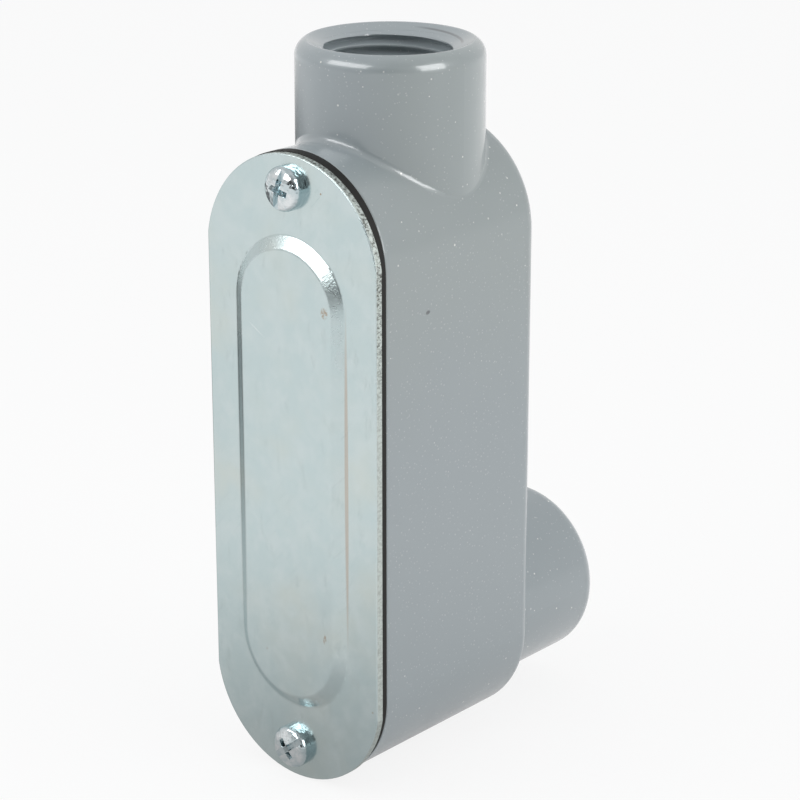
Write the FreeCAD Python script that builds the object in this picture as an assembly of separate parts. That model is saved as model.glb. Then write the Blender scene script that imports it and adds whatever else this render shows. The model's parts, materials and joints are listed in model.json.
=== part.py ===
# Conduit body for trade size 1/2 rigid conduit: an elbow box with one hub on
# its end and one on its back, closed by a screwed sheet cover on a gasket.
# Millimetres. The origin is the middle of the end hub's mouth and +Z points
# out of that hub. The cover faces -Y and the back hub points along +Y.
import FreeCAD, Part
import math
import os

V = FreeCAD.Vector
X, Y, Z = V(1, 0, 0), V(0, 1, 0), V(0, 0, 1)

# Hubs
hub_radius = 14.4
lip_round = 2.7             # outer round of the lip
crest_radius = 12.65        # where the lip is highest
crest_round = 0.6
mouth_angle = 26.0          # slope of the countersunk mouth, degrees
bore_radius = 10.6          # root of the 1/2-14 pipe thread
thread_depth = 13.0
throat_radius = 7.9         # shoulder that stops the conduit
throat_length = 3.0
throat_round = 1.0
core_radius = 9.8           # cored passage between throat and chamber
end_hub_height = 13.45      # from the body's end to the hub's mouth
end_hub_setback = 19.75     # from the open rim to the hub's axis
back_hub_length = 20.05     # from the body's back to the hub's mouth
back_hub_rise = 17.6        # from the body's foot to the hub's axis
hub_root_fillet = 1.2
back_hub_root_fillet = 1.0

# Cast body
body_width = 32.8
body_length = 100.0
body_depth = 35.3
back_round = 2.3
rim_round = 0.35
wall = 2.6
chamber_draft = 1.0         # degrees, opening towards the rim
chamber_floor_fillet = 3.0

# Cover screws and their bosses
screw_edge = 5.1            # from the body's end to a screw's axis
screw_radius = 1.75
screw_length = 9.5
screw_point = 0.6
thread_clearance = 0.05
head_radius = 3.4
head_height = 2.4
head_dome = 0.5
head_side_round = 1.0
slot_width = 1.0
slot_depth = 0.8
cross_span = 4.0
cross_width = 0.95
cross_depth = 1.35
top_screw_turn = 75.0       # degrees, the way each driver slot came to rest
bottom_screw_turn = 37.0
boss_radius = 3.6
boss_depth = 9.0            # ends short of the end hub's passage
boss_round = 2.4
tap_depth = 7.6

# Gasket
gasket_thickness = 1.7
gasket_band = 4.4           # width beside the opening
gasket_screw_band = 4.6     # from a screw's axis to the opening

# Cover
cover_overhang = 0.5        # beyond each long side of the body
cover_end_overhang = 0.0
cover_settle_x = 0.18       # where the cover was tightened in its holes
cover_settle_z = -0.12
cover_thickness = 1.25
cover_end_swell = 0.2       # end radius beyond half the width
cover_hole_radius = 2.1
cover_edge_round = 0.25     # rolled over by the blanking die
panel_width = 22.0
panel_length = 75.6
panel_height = 1.25
panel_slope = 2.0           # width of the drawn wall
panel_bend = 0.8

# Planes and centres that follow from them
rim_y = -end_hub_setback
back_y = rim_y + body_depth
gasket_y = rim_y - gasket_thickness
cover_y = gasket_y - cover_thickness
top_z = -end_hub_height
foot_z = top_z - body_length
middle_z = (top_z + foot_z) / 2
back_hub_y = back_y + back_hub_length
back_hub_z = foot_z + back_hub_rise
cover_width = body_width + 2 * cover_overhang
cover_length = body_length + 2 * cover_end_overhang
screw_span = body_length - 2 * screw_edge
screw_tops = {
    "cover_screw_top": (middle_z + screw_span / 2, top_screw_turn),
    "cover_screw_bottom": (middle_z - screw_span / 2, bottom_screw_turn),
}


def plate_outline(width, length, end_radius, y):
    """Straight sides and round ends, in the plane at y around middle_z."""
    half, centre = width / 2, length / 2 - end_radius
    corner = centre + math.sqrt(max(end_radius ** 2 - half ** 2, 0))

    def at(x, z):
        return V(x, y, middle_z + z)

    return Part.Wire([
        Part.Arc(at(half, corner), at(0, length / 2), at(-half, corner)).toShape(),
        Part.LineSegment(at(-half, corner), at(-half, -corner)).toShape(),
        Part.Arc(at(-half, -corner), at(0, -length / 2), at(half, -corner)).toShape(),
        Part.LineSegment(at(half, -corner), at(half, corner)).toShape(),
    ])


def stadium(width, length, y):
    return plate_outline(width, length, width / 2, y)


def prism(wire, depth):
    return Part.Face(wire).extrude(Y * depth)


def edges_in_plane(shape, y):
    return [e for e in shape.Edges
            if all(abs(v.Y - y) < 1e-6 for v in e.Vertexes)
            and abs(e.CenterOfMass.y - y) < 1e-6]


def revolve(points):
    """Turn a closed outline of (radius, height) points about +Z. A middle
    item of three coordinates pairs marks the mid point of an arc."""
    edges, here = [], points[0]
    for item in points[1:] + [points[0]]:
        if len(item) == 4:
            mid, end = item[:2], item[2:]
            edges.append(Part.Arc(V(here[0], 0, here[1]), V(mid[0], 0, mid[1]),
                                  V(end[0], 0, end[1])).toShape())
            here = end
        elif item != here:
            edges.append(Part.LineSegment(V(here[0], 0, here[1]),
                                          V(item[0], 0, item[1])).toShape())
            here = item
    return Part.Face(Part.Wire(edges)).revolve(V(), Z, 360)


def arc_to(centre, radius, start, end):
    """Mid point and end point of an arc between two angles in degrees."""
    mid = math.radians((start + end) / 2)
    end = math.radians(end)
    return (centre[0] + radius * math.cos(mid), centre[1] + radius * math.sin(mid),
            centre[0] + radius * math.cos(end), centre[1] + radius * math.sin(end))


def aim_back(shape):
    """Turn what points along +Z to point along +Y at the back hub."""
    shape.rotate(V(), X, -90)
    shape.translate(V(0, back_hub_y, back_hub_z))
    return shape


def hub(length):
    """Solid hub from its mouth at z = 0 down. Its lip is a large round
    outside that meets a small one at the crest."""
    lip = hub_radius - lip_round
    side, reach = crest_radius - lip, lip_round - crest_round
    centre = (lip, -crest_round - math.sqrt(reach ** 2 - side ** 2))
    joint = math.degrees(math.acos(side / reach))
    return revolve([
        (0, 0), (crest_radius, 0),
        arc_to((crest_radius, -crest_round), crest_round, 90, joint),
        arc_to(centre, lip_round, joint, 0),
        (hub_radius, -length), (0, -length),
    ])


def hub_passage(length):
    """What is removed from a hub: countersunk mouth, thread bore, stop
    shoulder with rounded throat, and the cored passage on to the chamber."""
    turned = 90 + mouth_angle
    crest = arc_to((crest_radius, -crest_round), crest_round, 90, turned)
    mouth_depth = crest[3] - (crest[2] - bore_radius) * math.tan(math.radians(mouth_angle))
    shoulder = -thread_depth
    throat_end = shoulder - throat_length
    flare = core_radius - throat_radius
    round_centre = (throat_radius + throat_round, shoulder - throat_round)
    flare_centre = (core_radius, throat_end)
    return revolve([
        (0, 1), (crest_radius, 1), (crest_radius, 0), crest,
        (bore_radius, mouth_depth), (bore_radius, shoulder),
        (round_centre[0], shoulder),
        arc_to(round_centre, throat_round, 90, 180),
        (throat_radius, throat_end),
        arc_to(flare_centre, flare, 180, 270),
        (core_radius, -length), (0, -length),
    ])


def screw_boss(z, outward):
    """Post behind the rim that merges into the end wall."""
    reach = screw_edge - wall / 2
    post = Part.makeCylinder(boss_radius, boss_depth, V(0, rim_y, z), Y)
    web = Part.makeBox(2 * boss_radius, boss_depth, reach,
                       V(-boss_radius, rim_y, z if outward > 0 else z - reach))
    boss = post.fuse(web).removeSplitter()
    return boss.makeFillet(boss_round, edges_in_plane(boss, rim_y + boss_depth))


def tapped_hole(z):
    radius = screw_radius + thread_clearance
    hole = Part.makeCylinder(radius, tap_depth, V(0, rim_y, z), Y)
    tip = Part.makeCone(radius, 0, radius * 0.58, V(0, rim_y + tap_depth, z), Y)
    return hole.fuse(tip)


def make_body():
    shell = prism(stadium(body_width, body_length, rim_y), body_depth)
    shell = shell.makeFillet(back_round, edges_in_plane(shell, back_y))
    shell = shell.makeFillet(rim_round, edges_in_plane(shell, rim_y))
    end_hub = hub(end_hub_height + body_width / 2)
    back_hub = aim_back(hub(back_hub_length + wall))
    cast = shell.fuse(end_hub)
    root = [e for e in cast.Edges
            if e.BoundBox.ZMax < top_z + 0.1 and e.BoundBox.ZMin > top_z - body_width / 2
            and e.BoundBox.XMax - e.BoundBox.XMin < 2 * hub_radius + 0.01
            and max(abs(math.hypot(v.X, v.Y) - hub_radius) for v in e.Vertexes) < 1e-3]
    cast = cast.makeFillet(hub_root_fillet, root)
    cast = cast.fuse(back_hub)
    root = [e for e in cast.Edges
            if abs(e.BoundBox.YMax - back_y) < 0.05 and e.BoundBox.YMin > back_y - back_round
            and max(abs(math.hypot(p.x, p.z - back_hub_z) - hub_radius)
                    for p in e.discretize(5)) < 1e-2]
    cast = cast.makeFillet(back_hub_root_fillet, root)

    mouth = stadium(body_width - 2 * wall, body_length - 2 * wall, rim_y)
    floor_y = back_y - wall
    taper = (floor_y - rim_y) * math.tan(math.radians(chamber_draft))
    floor = stadium(body_width - 2 * wall - 2 * taper,
                    body_length - 2 * wall - 2 * taper, floor_y)
    chamber = Part.makeLoft([mouth, floor], True, True)
    chamber = chamber.makeFillet(chamber_floor_fillet, edges_in_plane(chamber, floor_y))
    for z, turn in screw_tops.values():
        chamber = chamber.cut(screw_boss(z, z - middle_z))
    cast = cast.cut(chamber)
    cast = cast.cut(hub_passage(end_hub_height + body_width / 2))
    cast = cast.cut(aim_back(hub_passage(back_hub_length + wall + 0.5)))
    for z, turn in screw_tops.values():
        cast = cast.cut(tapped_hole(z))
    return cast


def screw_holes(radius, y, depth):
    return [Part.makeCylinder(radius, depth, V(0, y, z), Y)
            for z, turn in screw_tops.values()]


def make_gasket():
    ring = prism(stadium(body_width, body_length, gasket_y), gasket_thickness)
    opening_length = screw_span - 2 * gasket_screw_band
    opening = prism(stadium(body_width - 2 * gasket_band, opening_length, gasket_y),
                    gasket_thickness)
    return ring.cut([opening] + screw_holes(cover_hole_radius, gasket_y, gasket_thickness))


def raised_panel(y, inset):
    """The drawn panel's outer or inner form, standing on the plane at y."""
    slope = panel_slope
    low = stadium(panel_width - 2 * inset, panel_length - 2 * inset, y)
    high = stadium(panel_width - 2 * inset - 2 * slope,
                   panel_length - 2 * inset - 2 * slope, y - panel_height)
    return Part.makeLoft([low, high], True, True)


def make_cover():
    end_radius = cover_width / 2 + cover_end_swell
    plate = prism(plate_outline(cover_width, cover_length, end_radius, cover_y),
                  cover_thickness)
    plate = plate.makeFillet(cover_edge_round, edges_in_plane(plate, cover_y))
    face_y, back_face_y = cover_y, cover_y + cover_thickness
    # the drawn wall keeps about the sheet's thickness across its slope
    thinning = cover_thickness * math.tan(math.atan2(panel_height, panel_slope) / 2)
    sheet = plate.fuse(raised_panel(face_y, 0))
    sheet = sheet.cut(raised_panel(back_face_y, thinning))
    bends = edges_in_plane(sheet, face_y - panel_height)
    bends += [e for e in edges_in_plane(sheet, face_y)
              if e.BoundBox.XMax - e.BoundBox.XMin < panel_width + 0.01
              and abs(e.BoundBox.XMax) < panel_width / 2 + 0.01
              and abs(e.BoundBox.XMin) < panel_width / 2 + 0.01]
    sheet = sheet.makeFillet(panel_bend, bends)
    sheet = sheet.cut(screw_holes(cover_hole_radius, cover_y, cover_thickness))
    sheet.translate(V(cover_settle_x, 0, cover_settle_z))
    return sheet


def make_screw(z, turn):
    """Pan head with a driver slot across a cross recess, and a plain shank
    at the thread's full diameter."""
    side = head_height - head_dome
    rim = head_radius - head_side_round
    top_centre = (rim, side - head_side_round)
    screw = revolve([
        (0, -screw_length), (screw_radius - screw_point, -screw_length),
        (screw_radius, screw_point - screw_length), (screw_radius, 0),
        (head_radius, 0), (head_radius, top_centre[1]),
        arc_to(top_centre, head_side_round, 0, 60),
        (rim * 0.45, head_height - head_dome * 0.12, 0, head_height),
    ])
    slot = Part.makeBox(2 * head_radius + 1, slot_width, slot_depth + 1,
                        V(-head_radius - 0.5, -slot_width / 2, head_height - slot_depth))
    recess = slot
    for angle in (0, 90):
        top = Part.makePlane(cross_span, cross_width,
                             V(-cross_span / 2, -cross_width / 2, head_height + 0.01))
        low = Part.makePlane(cross_span * 0.4, cross_width * 0.6,
                             V(-cross_span * 0.2, -cross_width * 0.3, head_height - cross_depth))
        wing = Part.makeLoft([top.OuterWire, low.OuterWire], True, True)
        wing.rotate(V(), Z, angle)
        recess = recess.fuse(wing)
    screw = screw.cut(recess)
    screw.rotate(V(), Z, turn)
    screw.rotate(V(), X, 90)
    screw.translate(V(0, cover_y, z))
    return screw


pieces = {"body": make_body(), "gasket": make_gasket(), "cover": make_cover()}
for name, (z, turn) in screw_tops.items():
    pieces[name] = make_screw(z, turn)

os.makedirs("parts", exist_ok=True)
for name, shape in pieces.items():
    if shape.ShapeType != "Solid":
        shape = shape.Solids[0] if len(shape.Solids) == 1 else shape
    shape.exportStep("parts/%s.step" % name)
    box = shape.BoundBox
    print(name, shape.isValid(), len(shape.Solids), round(shape.Volume),
          [round(v, 2) for v in (box.XMin, box.YMin, box.ZMin, box.XMax, box.YMax, box.ZMax)])
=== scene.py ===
# Conduit body for 1/2 rigid conduit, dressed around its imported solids.
import bpy
import bmesh
import json
from math import radians, pi, tau, cos, sin, tan
from mathutils import Matrix, Vector


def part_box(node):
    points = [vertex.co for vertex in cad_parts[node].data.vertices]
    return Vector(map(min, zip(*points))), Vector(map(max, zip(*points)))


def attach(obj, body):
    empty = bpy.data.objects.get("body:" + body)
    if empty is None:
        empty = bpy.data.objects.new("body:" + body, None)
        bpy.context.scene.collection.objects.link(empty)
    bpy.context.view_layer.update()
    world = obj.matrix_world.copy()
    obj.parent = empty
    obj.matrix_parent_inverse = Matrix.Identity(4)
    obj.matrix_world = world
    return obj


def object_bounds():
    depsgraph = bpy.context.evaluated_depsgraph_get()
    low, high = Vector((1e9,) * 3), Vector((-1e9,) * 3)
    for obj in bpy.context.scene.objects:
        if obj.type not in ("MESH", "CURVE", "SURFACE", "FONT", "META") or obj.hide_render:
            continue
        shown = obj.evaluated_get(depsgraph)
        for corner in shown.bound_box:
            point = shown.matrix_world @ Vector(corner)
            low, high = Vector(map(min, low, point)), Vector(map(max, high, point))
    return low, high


mm = 0.001
white = (1, 1, 1)

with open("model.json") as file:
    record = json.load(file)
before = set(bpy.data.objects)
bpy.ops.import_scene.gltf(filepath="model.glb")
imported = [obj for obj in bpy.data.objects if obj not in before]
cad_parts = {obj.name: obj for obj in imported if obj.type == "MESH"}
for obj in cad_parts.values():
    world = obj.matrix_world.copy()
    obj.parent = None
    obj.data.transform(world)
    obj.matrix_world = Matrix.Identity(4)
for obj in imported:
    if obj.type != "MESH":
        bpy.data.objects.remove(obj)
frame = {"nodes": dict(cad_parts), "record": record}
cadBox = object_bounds()
cadNodes = frame["nodes"]
print("solids loaded:", sorted(cadNodes))

# where the solids stand
bodyLow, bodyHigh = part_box("body")
mounts = {m["name"]: Vector(m["pos_m"]) for m in frame["record"]["mounts"]}
frontY, floorZ = cadBox[0].y, cadBox[0].z


# small helpers for node trees; each gives back the socket that comes out
def mathNode(nodes, links, operation, first, second=None):
    node = nodes.new("ShaderNodeMath")
    node.operation = operation
    for socket, value in zip(node.inputs, (first, second)):
        if isinstance(value, (int, float)):
            socket.default_value = value
        elif value is not None:
            links.new(value, socket)
    return node.outputs[0]


def product(nodes, links, first, *others):
    for other in others:
        first = mathNode(nodes, links, "MULTIPLY", first, other)
    return first


def rangeNode(nodes, links, value, low, high, toLow=0, toHigh=1, smooth=True):
    node = nodes.new("ShaderNodeMapRange")
    node.interpolation_type = "SMOOTHSTEP" if smooth else "LINEAR"
    links.new(value, node.inputs["Value"])
    for label, number in (("From Min", low), ("From Max", high), ("To Min", toLow), ("To Max", toHigh)):
        if isinstance(number, (int, float)):
            node.inputs[label].default_value = number
        else:
            links.new(number, node.inputs[label])
    return node.outputs[0]


def mixColour(nodes, links, mask, first, second, strength=1):
    if strength != 1:
        mask = mathNode(nodes, links, "MULTIPLY", mask, strength)
    node = nodes.new("ShaderNodeMix")
    node.data_type = "RGBA"
    links.new(mask, node.inputs["Factor"])
    for socket, value in ((node.inputs[6], first), (node.inputs[7], second)):
        if isinstance(value, tuple):
            socket.default_value = (*value, 1)
        else:
            links.new(value, socket)
    return node.outputs[2]


def mixShader(nodes, links, mask, first, second):
    node = nodes.new("ShaderNodeMixShader")
    for socket, value in zip(node.inputs, (mask, first, second)):
        links.new(value, socket)
    return node.outputs[0]


def splitPlace(nodes, links, place):
    node = nodes.new("ShaderNodeSeparateXYZ")
    links.new(place, node.inputs[0])
    return node.outputs


def distanceFrom(nodes, links, place, centre):
    node = nodes.new("ShaderNodeVectorMath")
    node.operation = "DISTANCE"
    node.inputs[1].default_value = centre
    links.new(place, node.inputs[0])
    return node.outputs["Value"]


def noiseNode(nodes, links, place, size, detail=2, roughness=0.5, stretch=(1, 1, 1)):
    mapping = nodes.new("ShaderNodeMapping")
    mapping.inputs["Scale"].default_value = [s / size for s in stretch]
    links.new(place, mapping.inputs["Vector"])
    noise = nodes.new("ShaderNodeTexNoise")
    noise.inputs["Scale"].default_value = 1
    noise.inputs["Detail"].default_value = detail
    noise.inputs["Roughness"].default_value = roughness
    links.new(mapping.outputs[0], noise.inputs["Vector"])
    return noise.outputs["Fac"]


# 1 in the middle of a spot and 0 beyond its reach, both in mm, leaning about Y in degrees
def spotMask(nodes, links, place, middle, reach, lean=0):
    offset = nodes.new("ShaderNodeVectorMath")
    offset.operation = "SUBTRACT"
    offset.inputs[1].default_value = [c * mm for c in middle]
    links.new(place, offset.inputs[0])
    turn = nodes.new("ShaderNodeVectorRotate")
    turn.rotation_type = "Y_AXIS"
    turn.inputs["Angle"].default_value = radians(lean)
    links.new(offset.outputs[0], turn.inputs["Vector"])
    scaled = nodes.new("ShaderNodeVectorMath")
    scaled.operation = "DIVIDE"
    scaled.inputs[1].default_value = [r * mm for r in reach]
    links.new(turn.outputs[0], scaled.inputs[0])
    away = distanceFrom(nodes, links, scaled.outputs[0], (0, 0, 0))
    return rangeNode(nodes, links, away, 0.5, 1, 1, 0)


# 1 where the surface faces front or back, 0 where it faces sideways
def facingFront(nodes, links):
    normal = nodes.new("ShaderNodeTexCoord").outputs["Normal"]
    return mathNode(nodes, links, "ABSOLUTE", splitPlace(nodes, links, normal)["Y"])


def addBump(nodes, links, shader, heights):
    normal = None
    for height, distance, strength in heights:
        bump = nodes.new("ShaderNodeBump")
        bump.inputs["Distance"].default_value = distance
        bump.inputs["Strength"].default_value = strength
        links.new(height, bump.inputs["Height"])
        if normal is not None:
            links.new(normal, bump.inputs["Normal"])
        normal = bump.outputs[0]
    links.new(normal, shader.inputs["Normal"])


def newMaterial(name):
    material = bpy.data.materials.new(name)
    material.use_nodes = True
    nodes, links = material.node_tree.nodes, material.node_tree.links
    nodes.clear()
    output = nodes.new("ShaderNodeOutputMaterial")
    shader = nodes.new("ShaderNodeBsdfPrincipled")
    links.new(shader.outputs[0], output.inputs[0])
    coords = nodes.new("ShaderNodeTexCoord")
    return material, nodes, links, shader, coords.outputs["Object"]


# a background or an emission of one colour
def plainGlow(nodes, kind, colour):
    node = nodes.new(kind)
    node.inputs["Color"].default_value = (*colour, 1)
    return node


cameraSet = {
    "place": (0.25765, -0.29464, 0.07963),
    "target": (0.00989, -0.00917, -0.05256),
    "lens": 119.35,
    "sensor": 36,
    "clip": (0.01, 20),
}


def placeCamera():
    data = bpy.data.cameras.new("camera")
    data.lens = cameraSet["lens"]
    data.sensor_width = cameraSet["sensor"]
    data.clip_start, data.clip_end = cameraSet["clip"]
    camera = bpy.data.objects.new("camera", data)
    bpy.context.scene.collection.objects.link(camera)
    camera.location = cameraSet["place"]
    look = Vector(cameraSet["target"]) - camera.location
    camera.rotation_euler = look.to_track_quat("-Z", "Y").to_euler()
    bpy.context.scene.camera = camera


placeCamera()
print("camera placed")


lightSet = {
    "sky": (0.97, 0.985, 1),
    "ambient": 0.86,           # world strength on the surfaces
    "room": (0.8, 0.8, 0.8),
    "glossy": 0.92,            # strength of the room in polished surfaces, where no lamp stands
    # the room is dimmer in front of the cover: azimuth, elevation, size, tone
    "shade": (-52, 5, 0.95, 0.05),
    "front": (-52, 8, 0.9, 0.45),
    "gap": (-66, 3, 0.33, 0.05),
    "fade": (0.6, 1.4),        # shares of that size between which the tone comes back
    "boxDistance": 0.7,
}
softboxes = {
    # name: azimuth, elevation, width, height, radiance, what sees it
    "keyLeft": (-105, 35, 0.62, 0.28, 4.2, "glossy"),
    "keyRight": (3, 22, 0.40, 0.38, 5.0, "glossy"),
    "fillLeft": (-105, 40, 0.75, 0.30, 2.0, "diffuse"),
    "fillRight": (10, 30, 0.45, 0.40, 2.0, "diffuse"),
}


def towards(azimuth, elevation):
    a, e = radians(azimuth), radians(elevation)
    return Vector((cos(a) * cos(e), sin(a) * cos(e), sin(e)))


def placeSoftboxes():
    centre = Vector((0, 0, (bodyLow.z + bodyHigh.z) / 2))
    for name, (azimuth, elevation, width, height, radiance, seenBy) in softboxes.items():
        data = bpy.data.lights.new(name, "AREA")
        data.shape = "RECTANGLE"
        data.size, data.size_y = width, height
        data.energy = radiance * pi * width * height
        lamp = bpy.data.objects.new(name, data)
        bpy.context.scene.collection.objects.link(lamp)
        away = towards(azimuth, elevation)
        lamp.location = centre + away * lightSet["boxDistance"]
        lamp.rotation_euler = (-away).to_track_quat("-Z", "Y").to_euler()
        lamp.visible_glossy = seenBy == "glossy"
        lamp.visible_diffuse = seenBy == "diffuse"


def dimTone(nodes, links, direction, tone, region):
    azimuth, elevation, size, low = region
    away = distanceFrom(nodes, links, direction, towards(azimuth, elevation))
    fadeFrom, fadeTo = lightSet["fade"]
    return rangeNode(nodes, links, away, size * fadeFrom, size * fadeTo, low, tone)


def buildWorld():
    world = bpy.data.worlds.new("studio")
    bpy.context.scene.world = world
    world.use_nodes = True
    nodes, links = world.node_tree.nodes, world.node_tree.links
    nodes.clear()
    output = nodes.new("ShaderNodeOutputWorld")
    paths = nodes.new("ShaderNodeLightPath")
    direction = nodes.new("ShaderNodeTexCoord").outputs["Generated"]
    soft = plainGlow(nodes, "ShaderNodeBackground", lightSet["sky"])
    tone = dimTone(nodes, links, direction, lightSet["ambient"], lightSet["shade"])
    links.new(tone, soft.inputs["Strength"])
    seen = plainGlow(nodes, "ShaderNodeBackground", lightSet["room"])
    tone = dimTone(nodes, links, direction, lightSet["glossy"], lightSet["front"])
    tone = dimTone(nodes, links, direction, tone, lightSet["gap"])
    links.new(tone, seen.inputs["Strength"])
    backdrop = plainGlow(nodes, "ShaderNodeBackground", white)
    lit = mixShader(nodes, links, paths.outputs["Is Glossy Ray"], soft.outputs[0], seen.outputs[0])
    shown = mixShader(nodes, links, paths.outputs["Is Camera Ray"], lit, backdrop.outputs[0])
    links.new(shown, output.inputs[0])


placeSoftboxes()
buildWorld()
print("lights placed")


floorSet = {
    "halfSide": 3,
    "colour": (0.86, 0.86, 0.86),
    "roughness": 0.9,
    "glow": 0.86,              # share that stays white; the rest shows the shadow
    "mirrored": 0.93,          # tone of the open floor in polished metal
    # painted shadow at the foot and painted shade away to the left, seen only in polished metal: x, y, near,
    # far, tone
    "dark": [(0, -0.02, -0.02, 0.12, 0.45), (-0.28, 0.08, 0.12, 0.28, 0.12)],
}


def buildFloor():
    bm = bmesh.new()
    bmesh.ops.create_grid(bm, x_segments=1, y_segments=1, size=floorSet["halfSide"])
    bmesh.ops.translate(bm, verts=bm.verts, vec=(0, 0, floorZ))
    mesh = bpy.data.meshes.new("floor")
    bm.to_mesh(mesh)
    bm.free()
    floor = bpy.data.objects.new("floor", mesh)
    bpy.context.scene.collection.objects.link(floor)
    material, nodes, links, shader, place = newMaterial("paleFloor")
    shader.inputs["Base Color"].default_value = (*floorSet["colour"], 1)
    shader.inputs["Roughness"].default_value = floorSet["roughness"]
    paths = nodes.new("ShaderNodeLightPath")
    glow = plainGlow(nodes, "ShaderNodeEmission", white)
    share = mathNode(nodes, links, "MULTIPLY", paths.outputs["Is Camera Ray"], floorSet["glow"])
    laid = mixShader(nodes, links, share, shader.outputs[0], glow.outputs[0])
    # painted shadow in the floor's glow that polished metal reflects
    shadowFades = [rangeNode(nodes, links, distanceFrom(nodes, links, place, (x, y, floorZ)), near, far, tone, 1)
             for x, y, near, far, tone in floorSet["dark"]]
    mirrored = plainGlow(nodes, "ShaderNodeEmission", white)
    links.new(product(nodes, links, *shadowFades, floorSet["mirrored"]), mirrored.inputs["Strength"])
    shown = mixShader(nodes, links, paths.outputs["Is Glossy Ray"], laid, mirrored.outputs[0])
    links.new(shown, nodes["Material Output"].inputs[0])
    mesh.materials.append(material)


buildFloor()
print("floor laid")


def newGroup(name, inputs, outputs):
    group = bpy.data.node_groups.new(name, "ShaderNodeTree")
    for label, kind, value in inputs:
        socket = group.interface.new_socket(label, in_out="INPUT", socket_type="NodeSocket" + kind)
        if value is not None:
            socket.default_value = value
    for label, kind in outputs:
        group.interface.new_socket(label, in_out="OUTPUT", socket_type="NodeSocket" + kind)
    return (group, group.nodes, group.links,
            group.nodes.new("NodeGroupInput").outputs, group.nodes.new("NodeGroupOutput").inputs)


def useGroup(nodes, links, group, place, **values):
    node = nodes.new("ShaderNodeGroup")
    node.node_tree = group
    links.new(place, node.inputs["Place"])
    for label, value in values.items():
        node.inputs[label].default_value = value
    return node.outputs


# round specks strewn through a volume: flakes, dust and corrosion freckles
speckSet = {
    "least": 0.4,              # smallest speck, as a share of the size asked for
    "spread": 0.9,             # and how much larger the others get
    "core": 0.55,              # share of a speck that is solid before it fades
}


def buildSpecks():
    group, nodes, links, given, out = newGroup(
        "specks",
        [("Place", "Vector", None), ("Spacing", "Float", 2 * mm), ("Size", "Float", 0.1 * mm),
         ("Share", "Float", 0.5)],
        [("Mask", "Float"), ("Tone", "Float")])
    cells = nodes.new("ShaderNodeTexVoronoi")
    links.new(given["Place"], cells.inputs["Vector"])
    links.new(mathNode(nodes, links, "DIVIDE", 1, given["Spacing"]), cells.inputs["Scale"])
    away = product(nodes, links, cells.outputs["Distance"], given["Spacing"])
    split = nodes.new("ShaderNodeSeparateColor")
    links.new(cells.outputs["Color"], split.inputs[0])
    chance, growth, tone = split.outputs
    grow = mathNode(nodes, links, "ADD", product(nodes, links, growth, speckSet["spread"]), speckSet["least"])
    limit = product(nodes, links, given["Size"], grow)
    core = product(nodes, links, limit, speckSet["core"])
    dot = rangeNode(nodes, links, away, core, limit, 1, 0)
    chosen = mathNode(nodes, links, "LESS_THAN", chance, given["Share"])
    links.new(product(nodes, links, dot, chosen), out["Mask"])
    links.new(tone, out["Tone"])
    return group


# fine scratches that run one way in the XZ plane
scratchSet = {
    "across": 200,             # noise cells to the metre through the sheet
    "threshold": 0.78,         # noise above this shows when Amount is 0
    "byAmount": 0.3,           # how far Amount lowers it
    "soften": 0.06,
}


def buildScratches():
    group, nodes, links, given, out = newGroup(
        "scratches",
        [("Place", "Vector", None), ("Angle", "Float", 0.0), ("Width", "Float", 0.1 * mm),
         ("Length", "Float", 10 * mm), ("Amount", "Float", 0.2)],
        [("Mask", "Float")])
    turn = nodes.new("ShaderNodeVectorRotate")
    turn.rotation_type = "Y_AXIS"
    links.new(given["Place"], turn.inputs["Vector"])
    links.new(given["Angle"], turn.inputs["Angle"])
    x, y, z = splitPlace(nodes, links, turn.outputs[0])
    join = nodes.new("ShaderNodeCombineXYZ")
    links.new(mathNode(nodes, links, "DIVIDE", x, given["Length"]), join.inputs[0])
    links.new(product(nodes, links, y, scratchSet["across"]), join.inputs[1])
    links.new(mathNode(nodes, links, "DIVIDE", z, given["Width"]), join.inputs[2])
    noise = nodes.new("ShaderNodeTexNoise")
    noise.inputs["Scale"].default_value = 1
    noise.inputs["Detail"].default_value = 1
    links.new(join.outputs[0], noise.inputs["Vector"])
    low = mathNode(nodes, links, "SUBTRACT", scratchSet["threshold"],
                   product(nodes, links, given["Amount"], scratchSet["byAmount"]))
    high = mathNode(nodes, links, "ADD", low, scratchSet["soften"])
    links.new(rangeNode(nodes, links, noise.outputs["Fac"], low, high), out["Mask"])
    return group


specks = buildSpecks()
scratches = buildScratches()
print("shared effects built")


# grey powder coat with flake
coatSet = {
    "colour": (0.330, 0.376, 0.396),
    "greenLightTint": (0.332, 0.376, 0.378),    # painted tint of the light: a greener cast high on the side
    "greenLightFrom": (3 * mm, -62 * mm),   # x and z where that cast begins
    "greenLightTo": (13 * mm, -30 * mm),    # and where it is full
    "patchNoise": (24 * mm, 2),        # size and detail
    "flakes": {"Spacing": 1.4 * mm, "Size": 0.17 * mm, "Share": 0.65},
    "flakeColour": (0.86, 0.87, 0.82),
    "dust": {"Spacing": 0.6 * mm, "Size": 0.13 * mm, "Share": 0.6},
    "dustColour": (0.8, 0.8, 0.78),
    "dustStrength": 0.3,
    "pit": ((16.4, -10.4, -37.1), (1, 0.6, 0.36)),   # a blemish on the side: middle and reach, mm
    "pitColour": (0.05, 0.055, 0.06),
    "pitStrength": 0.75,
    "pitDepth": 0.15 * mm,
    "grooveShadeColour": (0.06, 0.065, 0.07),
    "grooveShadeStrength": 0.6,
    "roughness": (0.31, 0.41),
    "wornNoise": (6 * mm, 3),
    "gloss": 1.0,              # clear skin over the pigment
    "glossRoughness": 0.12,
    "glossIndex": 1.62,
    "peelNoise": (1.4 * mm, 1),
    "peelDepth": 0.006 * mm,
}
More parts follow.
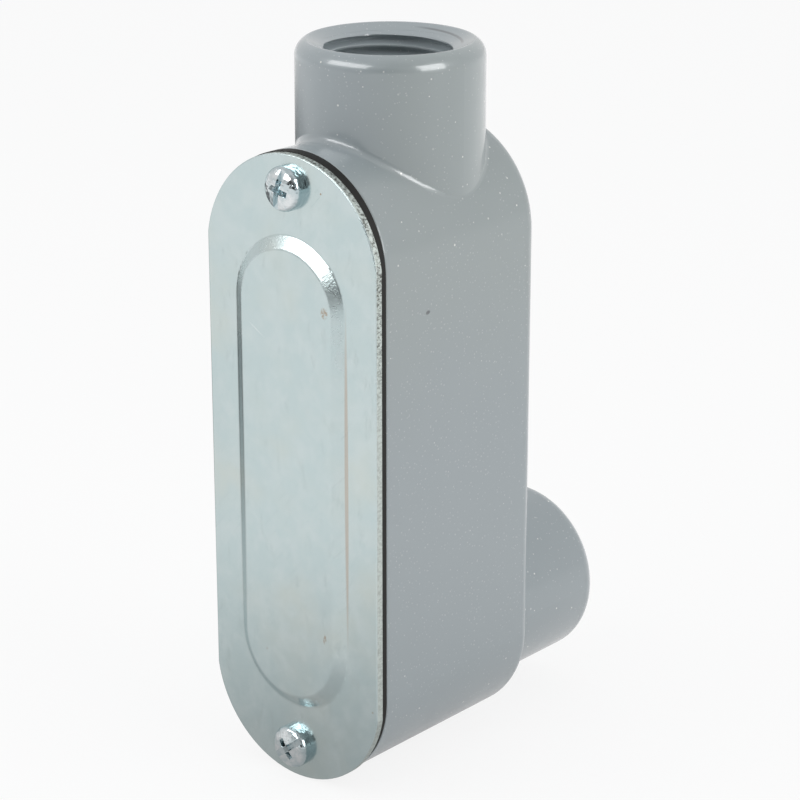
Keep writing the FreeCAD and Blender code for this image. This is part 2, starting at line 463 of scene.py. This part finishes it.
# painted shade of the thread's groove, where the tap first bites into the countersunk mouth
grooveShadeSet = {
    "height": -1.04 * mm,      # at azimuth 0
    "rise": 25.4 / 14 * mm,    # for one turn
    "width": 0.15 * mm,
    "core": 0.3,               # share of the width that is fully dark
    "begin": (36, 48),         # azimuths between which the line comes in
    "end": (118, 93),          # and from which it fades back
    "radius": (10.5 * mm, 10.7 * mm),   # it shows on the cone alone, beyond the bore
}


# the band of painted groove shade on the countersink's cone
def grooveShadeMask(nodes, links, place):
    x, y, z = splitPlace(nodes, links, place)
    turn = mathNode(nodes, links, "ARCTAN2", y, x)
    rise = mathNode(nodes, links, "ADD", product(nodes, links, turn, grooveShadeSet["rise"] / tau), grooveShadeSet["height"])
    off = mathNode(nodes, links, "ABSOLUTE", mathNode(nodes, links, "SUBTRACT", z, rise))
    squares = mathNode(nodes, links, "ADD", product(nodes, links, x, x), product(nodes, links, y, y))
    radius = mathNode(nodes, links, "SQRT", squares)
    line = rangeNode(nodes, links, off, grooveShadeSet["width"] * grooveShadeSet["core"], grooveShadeSet["width"], 1, 0)
    ends = [rangeNode(nodes, links, turn, *map(radians, grooveShadeSet[key])) for key in ("begin", "end")]
    return product(nodes, links, line, *ends, rangeNode(nodes, links, radius, *grooveShadeSet["radius"]))


def buildCoat():
    material, nodes, links, shader, place = newMaterial("greyCoat")
    x, y, z = splitPlace(nodes, links, place)
    # painted light: the coat is tinted greener high on the right side, where the light falls greenish
    (fromX, fromZ), (toX, toZ) = coatSet["greenLightFrom"], coatSet["greenLightTo"]
    patches = noiseNode(nodes, links, place, *coatSet["patchNoise"])
    paintedTint = product(nodes, links, rangeNode(nodes, links, x, fromX, toX), rangeNode(nodes, links, z, fromZ, toZ),
                   rangeNode(nodes, links, patches, 0.2, 0.5, 0.5, 1))
    colour = mixColour(nodes, links, paintedTint, coatSet["colour"], coatSet["greenLightTint"])
    flakes = useGroup(nodes, links, specks, place, **coatSet["flakes"])
    bright = product(nodes, links, flakes["Mask"], rangeNode(nodes, links, flakes["Tone"], 0, 1, 0.15, 1, False))
    colour = mixColour(nodes, links, bright, colour, coatSet["flakeColour"])
    dust = useGroup(nodes, links, specks, place, **coatSet["dust"])
    colour = mixColour(nodes, links, dust["Mask"], colour, coatSet["dustColour"], coatSet["dustStrength"])
    pit = spotMask(nodes, links, place, *coatSet["pit"])
    colour = mixColour(nodes, links, pit, colour, coatSet["pitColour"], coatSet["pitStrength"])
    # painted shade: a dark line darkens the coat along the start of the groove
    grooveShade = grooveShadeMask(nodes, links, place)
    colour = mixColour(nodes, links, grooveShade, colour, coatSet["grooveShadeColour"], coatSet["grooveShadeStrength"])
    links.new(colour, shader.inputs["Base Color"])
    worn = noiseNode(nodes, links, place, *coatSet["wornNoise"])
    links.new(rangeNode(nodes, links, worn, 0.3, 0.7, *coatSet["roughness"]), shader.inputs["Roughness"])
    shader.inputs["Coat Weight"].default_value = coatSet["gloss"]
    shader.inputs["Coat Roughness"].default_value = coatSet["glossRoughness"]
    shader.inputs["Coat IOR"].default_value = coatSet["glossIndex"]
    peel = noiseNode(nodes, links, place, *coatSet["peelNoise"])
    sunk = mathNode(nodes, links, "SUBTRACT", 1, pit)
    addBump(nodes, links, shader, [(peel, coatSet["peelDepth"], 1), (sunk, coatSet["pitDepth"], 1)])
    return material


# zinc-plated sheet
sheetSet = {
    # size, detail and roughness of each noise
    "broadNoise": (20 * mm, 3, 0.6),
    "cloudNoise": (4 * mm, 3, 0.6),
    "smudgeNoise": (2.2 * mm, 4, 0.65),
    "chipNoise": (0.5 * mm, 3, 0.7),
    "tearNoise": (0.4 * mm, 3, 0.75),
    "grainNoise": (0.3 * mm, 3, 0.65),
    "dentNoise": (6 * mm, 2),
    "colour": (0.572, 0.675, 0.683),
    "warm": (0.63, 0.69, 0.66),
    "cloudy": (0.665, 0.745, 0.75),
    "smudged": (0.50, 0.58, 0.58),
    "stain": (0.42, 0.33, 0.24),
    "freckles": {"Spacing": 7 * mm, "Size": 0.25 * mm, "Share": 0.35},
    "freckleStrength": 0.75,
    "marks": {                 # middle and reach in mm, strength
        "rust": ((8.1, -23.9, -35.8), (0.85, 1, 1.1), 0.8),
        "drip": ((7.6, -23.9, -87.8), (0.42, 1, 1.0), 0.85),
        "nick": ((6.5, -22.7, -18.4), (0.22, 1, 0.22), 0.9),
    },
    "scrape": ((-5.7, -23.95, -41), (0.09, 0.6, 2.2), 59),   # middle and reach in mm, lean
    "scraped": (0.85, 0.88, 0.88),
    "scrapeStrength": 0.5,
    "seam": ((11.2, -22.7, -62), (0.4, 0.6, 30)),      # yellow-brown line along the panel's foot
    "seamColour": (0.52, 0.45, 0.38),
    "seamStrength": 0.7,
    "wallSpan": (-52 * mm, -38 * mm),  # the drawn wall's grain is strongest above this height
    "sheared": (0.58, 0.63, 0.60),     # the cut edge, torn bright and dark
    "edgeStrength": 0.9,
    "torn": (0.07, 0.07, 0.06),
    "tornSpan": (-55 * mm, -30 * mm),  # torn less towards the foot
    "roughness": (0.17, 0.25),
    "edgeRougher": 0.25,
    "wallRougher": 0.07,
    "scratches": {"Angle": radians(48), "Width": 0.12 * mm, "Length": 9 * mm, "Amount": 0.25},
    # depth and strength of each relief
    "grainRelief": (0.045 * mm, 1),
    "dentRelief": (0.05 * mm, 0.6),
    "scratchRelief": (0.01 * mm, 0.6),
    "tearRelief": (0.12 * mm, 1),
}


def buildSheet():
    material, nodes, links, shader, place = newMaterial("platedSheet")
    shader.inputs["Metallic"].default_value = 1
    z = splitPlace(nodes, links, place)["Z"]
    broad = noiseNode(nodes, links, place, *sheetSet["broadNoise"])
    cloud = noiseNode(nodes, links, place, *sheetSet["cloudNoise"])
    smudge = noiseNode(nodes, links, place, *sheetSet["smudgeNoise"], stretch=(1, 1, 0.4))
    colour = mixColour(nodes, links, rangeNode(nodes, links, broad, 0.45, 0.75), sheetSet["colour"],
                       sheetSet["warm"])
    colour = mixColour(nodes, links, rangeNode(nodes, links, cloud, 0.35, 0.75, 0, 0.6), colour,
                       sheetSet["cloudy"])
    colour = mixColour(nodes, links, rangeNode(nodes, links, smudge, 0.55, 0.8, 0, 0.5), colour,
                       sheetSet["smudged"])
    freckles = useGroup(nodes, links, specks, place, **sheetSet["freckles"])
    colour = mixColour(nodes, links, freckles["Mask"], colour, sheetSet["stain"], sheetSet["freckleStrength"])
    chip = noiseNode(nodes, links, place, *sheetSet["chipNoise"])
    for middle, reach, strength in sheetSet["marks"].values():
        mark = product(nodes, links, spotMask(nodes, links, place, middle, reach),
                       rangeNode(nodes, links, chip, 0.42, 0.58, 0.1, 1))
        colour = mixColour(nodes, links, mark, colour, sheetSet["stain"], strength)
    scrape = spotMask(nodes, links, place, *sheetSet["scrape"])
    colour = mixColour(nodes, links, scrape, colour, sheetSet["scraped"], sheetSet["scrapeStrength"])
    seam = spotMask(nodes, links, place, *sheetSet["seam"])
    colour = mixColour(nodes, links, seam, colour, sheetSet["seamColour"], sheetSet["seamStrength"])
    # 0 on the flat faces, 1 on the panel's wall and on the cut edge
    flat = facingFront(nodes, links)
    wall = product(nodes, links, rangeNode(nodes, links, flat, 0.86, 0.97, 1, 0),
                   rangeNode(nodes, links, z, *sheetSet["wallSpan"], 0.1, 1))
    edge = rangeNode(nodes, links, flat, 0.2, 0.5, 1, 0)
    tear = noiseNode(nodes, links, place, *sheetSet["tearNoise"], stretch=(1, 0.6, 1))
    worn = rangeNode(nodes, links, z, *sheetSet["tornSpan"], 0.25, 0.85)
    colour = mixColour(nodes, links, edge, colour, sheetSet["sheared"], sheetSet["edgeStrength"])
    torn = product(nodes, links, edge, rangeNode(nodes, links, tear, 0.42, 0.64, 0, worn))
    colour = mixColour(nodes, links, torn, colour, sheetSet["torn"])
    links.new(colour, shader.inputs["Base Color"])
    rough = rangeNode(nodes, links, cloud, 0.3, 0.7, *sheetSet["roughness"])
    for mask, more in ((edge, sheetSet["edgeRougher"]), (wall, sheetSet["wallRougher"])):
        rough = mathNode(nodes, links, "ADD", rough, product(nodes, links, mask, more))
    links.new(rough, shader.inputs["Roughness"])
    grain = noiseNode(nodes, links, place, *sheetSet["grainNoise"])
    dents = noiseNode(nodes, links, place, *sheetSet["dentNoise"])
    fine = useGroup(nodes, links, scratches, place, **sheetSet["scratches"])
    addBump(nodes, links, shader, [
        (product(nodes, links, grain, wall), *sheetSet["grainRelief"]),
        (dents, *sheetSet["dentRelief"]),
        (fine["Mask"], *sheetSet["scratchRelief"]),
        (product(nodes, links, tear, edge), *sheetSet["tearRelief"]),
    ])
    return material


# zinc-plated screws, dented in the tumbler
screwSet = {
    "dull": (0.60, 0.68, 0.70),
    "bright": (0.80, 0.83, 0.84),
    "patchNoise": (1.6 * mm, 3, 0.6),
    "recess": (0.36, 0.48, 0.52),
    "recessDepth": (0.45 * mm, 0.9 * mm),   # behind the head's crown, where the painted shade comes in
    "recessStrength": 0.75,
    "roughness": (0.10, 0.20),
    "dentNoise": (1.5 * mm, 2),
    "dentRelief": (0.35 * mm, 0.8),
}


def buildScrewPlate():
    material, nodes, links, shader, place = newMaterial("platedScrew")
    shader.inputs["Metallic"].default_value = 1
    patches = noiseNode(nodes, links, place, *screwSet["patchNoise"])
    colour = mixColour(nodes, links, rangeNode(nodes, links, patches, 0.35, 0.65), screwSet["dull"],
                       screwSet["bright"])
    y = splitPlace(nodes, links, place)["Y"]
    # painted shade: the recess darkens, in a teal tint, with depth and more on its steep walls
    fromDepth, toDepth = screwSet["recessDepth"]
    deepShade = rangeNode(nodes, links, y, frontY + fromDepth, frontY + toDepth, 0, screwSet["recessStrength"])
    steepShade = rangeNode(nodes, links, facingFront(nodes, links), 0.0, 0.35, 1, 0.55)
    colour = mixColour(nodes, links, product(nodes, links, deepShade, steepShade), colour, screwSet["recess"])
    links.new(colour, shader.inputs["Base Color"])
    links.new(rangeNode(nodes, links, patches, 0.3, 0.7, *screwSet["roughness"]), shader.inputs["Roughness"])
    dents = noiseNode(nodes, links, place, *screwSet["dentNoise"])
    addBump(nodes, links, shader, [(dents, *screwSet["dentRelief"])])
    return material


rubberSet = {
    "dark": (0.008, 0.008, 0.008),
    "dusty": (0.022, 0.021, 0.018),
    "roughness": (0.5, 0.7),
    "specular": 0.3,
    "grainNoise": (0.25 * mm, 3, 0.6),
    "grainRelief": (0.03 * mm, 0.6),
}


def buildRubber():
    material, nodes, links, shader, place = newMaterial("gasketRubber")
    grain = noiseNode(nodes, links, place, *rubberSet["grainNoise"])
    colour = mixColour(nodes, links, rangeNode(nodes, links, grain, 0.3, 0.75), rubberSet["dark"],
                       rubberSet["dusty"])
    links.new(colour, shader.inputs["Base Color"])
    links.new(rangeNode(nodes, links, grain, 0.3, 0.7, *rubberSet["roughness"]), shader.inputs["Roughness"])
    shader.inputs["Specular IOR Level"].default_value = rubberSet["specular"]
    addBump(nodes, links, shader, [(grain, *rubberSet["grainRelief"])])
    return material


greyCoat = buildCoat()
platedSheet = buildSheet()
platedScrew = buildScrewPlate()
gasketRubber = buildRubber()

finishes = {"body": greyCoat, "gasket": gasketRubber, "cover": platedSheet,
            "cover_screw_top": platedScrew, "cover_screw_bottom": platedScrew}
for name, material in finishes.items():
    mesh = cadNodes[name].data
    for index in range(len(mesh.materials)):
        mesh.materials[index] = material
    if not mesh.materials:
        mesh.materials.append(material)
print("finishes applied")


# the pipe thread in each hub: one ridge wound down the bore, which runs down from z = 0
threadSet = {
    "pitch": 25.4 / 14 * mm,
    "rootRadius": 10.6 * mm,
    "crestRadius": 9.42 * mm,
    "rootFlat": 0.2 * mm,
    "rootLift": 0.02 * mm,     # the flank starts this far inside the bore's wall
    "crestFlat": 0.25 * mm,
    "crestEase": (0.05 * mm, 0.03 * mm),   # crest corners broken: radially, and to each side
    "sunk": 0.12 * mm,         # how far the ridge's foot sits in the casting
    "depth": 13 * mm,
    "topCut": 0.3 * mm,        # the ridge is cut off this far below the mouth
    "spareTurns": 1.6,         # wound beyond both cuts
    "stepsPerTurn": 96,
    "flankSteps": 4,
    "start": 1.68 * mm,        # height of the first turn where it begins
    "mouthDepth": 0.93 * mm,   # the countersunk mouth takes the ridge down to nothing
    "mouthAngle": 26,
    "mouthSunk": 0.03 * mm,    # and a little under its cone
    "sharpAngle": 25,
}
weldDistance = 1e-7


def fillEnds(bm):
    bmesh.ops.holes_fill(bm, edges=[e for e in bm.edges if e.is_boundary], sides=0)


def buildThread(name, toMouth):
    s = threadSet
    pitch, steps, root = s["pitch"], s["stepsPerTurn"], s["rootRadius"]
    easeDown, easeAside = s["crestEase"]
    low, high = root - s["rootLift"], s["crestRadius"] + easeDown
    outer, inner = pitch / 2 - s["rootFlat"] / 2, s["crestFlat"] / 2 + easeAside
    # half of the ridge's section from foot to crest, then its mirror image
    side = [(root + s["sunk"], outer)]
    side += [(low + (high - low) * k / s["flankSteps"], outer + (inner - outer) * k / s["flankSteps"])
             for k in range(s["flankSteps"] + 1)]
    side.append((s["crestRadius"], s["crestFlat"] / 2 - easeAside))
    section = side + [(r, -z) for r, z in reversed(side)]
    turns = s["depth"] / pitch + s["spareTurns"]

    bm = bmesh.new()
    verts = [bm.verts.new((r, 0, s["start"] + z)) for r, z in section]
    ring = [bm.edges.new((verts[i], verts[(i + 1) % len(verts)])) for i in range(len(verts))]
    bm.faces.new(verts)
    bmesh.ops.spin(bm, geom=verts + ring, cent=(0, 0, 0), axis=(0, 0, 1), dvec=(0, 0, -pitch / steps),
                   angle=-tau * turns, steps=int(steps * turns), use_merge=False,
                   use_normal_flip=False, use_duplicate=False)
    fillEnds(bm)
    for limit, sign in ((-s["topCut"], 1), (-s["depth"], -1)):
        bmesh.ops.bisect_plane(bm, geom=bm.verts[:] + bm.edges[:] + bm.faces[:], dist=weldDistance,
                               plane_co=(0, 0, limit), plane_no=(0, 0, sign), clear_outer=True)
        fillEnds(bm)
    # what stands inside the countersink's cone is pushed back under it
    slope = tan(radians(s["mouthAngle"]))
    for v in bm.verts:
        radius = v.co.xy.length
        cone = root + (s["mouthDepth"] + v.co.z) / slope
        if radius < cone:
            grow = (cone + s["mouthSunk"]) / radius
            v.co.x, v.co.y = v.co.x * grow, v.co.y * grow
    bmesh.ops.remove_doubles(bm, verts=bm.verts, dist=weldDistance)
    bmesh.ops.recalc_face_normals(bm, faces=bm.faces)
    bmesh.ops.triangulate(bm, faces=bm.faces)
    bmesh.ops.transform(bm, matrix=toMouth, verts=bm.verts)
    for f in bm.faces:
        f.smooth = True
    for e in bm.edges:
        if e.is_manifold and e.calc_face_angle() > radians(s["sharpAngle"]):
            e.smooth = False

    mesh = bpy.data.meshes.new(name)
    bm.to_mesh(mesh)
    print(name, "faces", len(bm.faces), "open edges", sum(1 for e in bm.edges if not e.is_manifold))
    bm.free()
    piece = bpy.data.objects.new(name, mesh)
    bpy.context.scene.collection.objects.link(piece)
    mesh.materials.append(greyCoat)
    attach(piece, "root")


endMouth = Vector((0, 0, bodyHigh.z))
backMouth = Vector((0, bodyHigh.y, mounts["back_hub"].z))
buildThread("threadEnd", Matrix.Translation(endMouth))
buildThread("threadBack", Matrix.Translation(backMouth) @ Matrix.Rotation(-pi / 2, 4, "X"))
print("threads cut")

bpy.context.scene.view_settings.view_transform = "Standard"
print("scene ready")
